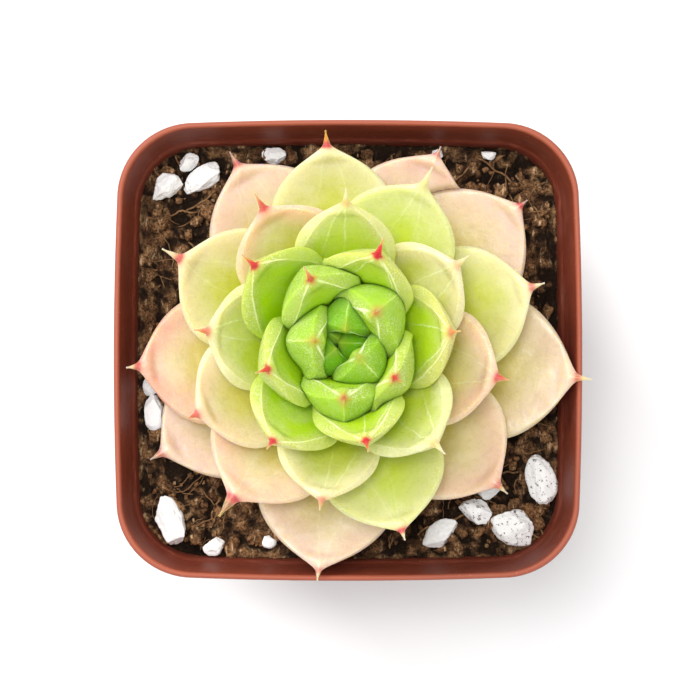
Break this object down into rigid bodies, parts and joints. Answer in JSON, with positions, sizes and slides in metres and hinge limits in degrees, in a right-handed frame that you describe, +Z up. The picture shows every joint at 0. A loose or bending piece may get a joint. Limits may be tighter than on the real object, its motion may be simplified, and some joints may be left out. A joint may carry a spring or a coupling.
{
  "type": "potted echeveria",
  "caption": "Potted echeveria: a fleshy rosette of pointed green leaves with pink tips on a short stem, in peaty soil with perlite, in a small square plastic nursery pot.",
  "frame": {"origin": "middle of the pot's flat underside", "axes": "+Z up, +X to the right and +Y away from a viewer who looks straight down on the plant"},
  "size_m": [0.0713, 0.069, 0.089],
  "materials": {
    "leaf_inner": "satin",
    "leaf_middle": "satin",
    "leaf_outer": "satin",
    "stem": "matte",
    "pot": "satin",
    "soil": "matte",
    "perlite": "matte"
  },
  "bodies": {
    "root": {"pot": "pot", "soil": "soil", "stem": "stem", "leaf_01": "leaf_inner", "leaf_02": "leaf_inner", "leaf_03": "leaf_inner", "leaf_04": "leaf_inner", "leaf_05": "leaf_inner", "leaf_06": "leaf_inner", "leaf_07": "leaf_inner", "leaf_08": "leaf_inner", "leaf_09": "leaf_inner", "leaf_10": "leaf_inner", "leaf_11": "leaf_inner", "leaf_12": "leaf_inner", "leaf_13": "leaf_middle", "leaf_14": "leaf_middle", "leaf_15": "leaf_middle", "leaf_16": "leaf_middle", "leaf_17": "leaf_middle", "leaf_18": "leaf_middle", "leaf_19": "leaf_middle", "leaf_20": "leaf_middle", "leaf_21": "leaf_middle", "leaf_22": "leaf_middle", "leaf_23": "leaf_middle", "leaf_24": "leaf_middle", "leaf_25": "leaf_middle", "leaf_26": "leaf_middle", "leaf_27": "leaf_outer", "leaf_28": "leaf_outer", "leaf_29": "leaf_outer", "leaf_30": "leaf_outer", "leaf_31": "leaf_outer", "leaf_32": "leaf_outer", "leaf_33": "leaf_outer", "leaf_34": "leaf_outer", "leaf_35": "leaf_outer", "leaf_36": "leaf_outer", "leaf_37": "leaf_outer", "leaf_38": "leaf_outer", "perlite_01": "perlite", "perlite_02": "perlite", "perlite_03": "perlite", "perlite_04": "perlite", "perlite_05": "perlite", "perlite_06": "perlite", "perlite_07": "perlite", "perlite_08": "perlite", "perlite_09": "perlite", "perlite_10": "perlite", "perlite_11": "perlite", "perlite_12": "perlite", "perlite_13": "perlite", "perlite_14": "perlite", "perlite_15": "perlite", "perlite_16": "perlite"}
  },
  "joints": []
}
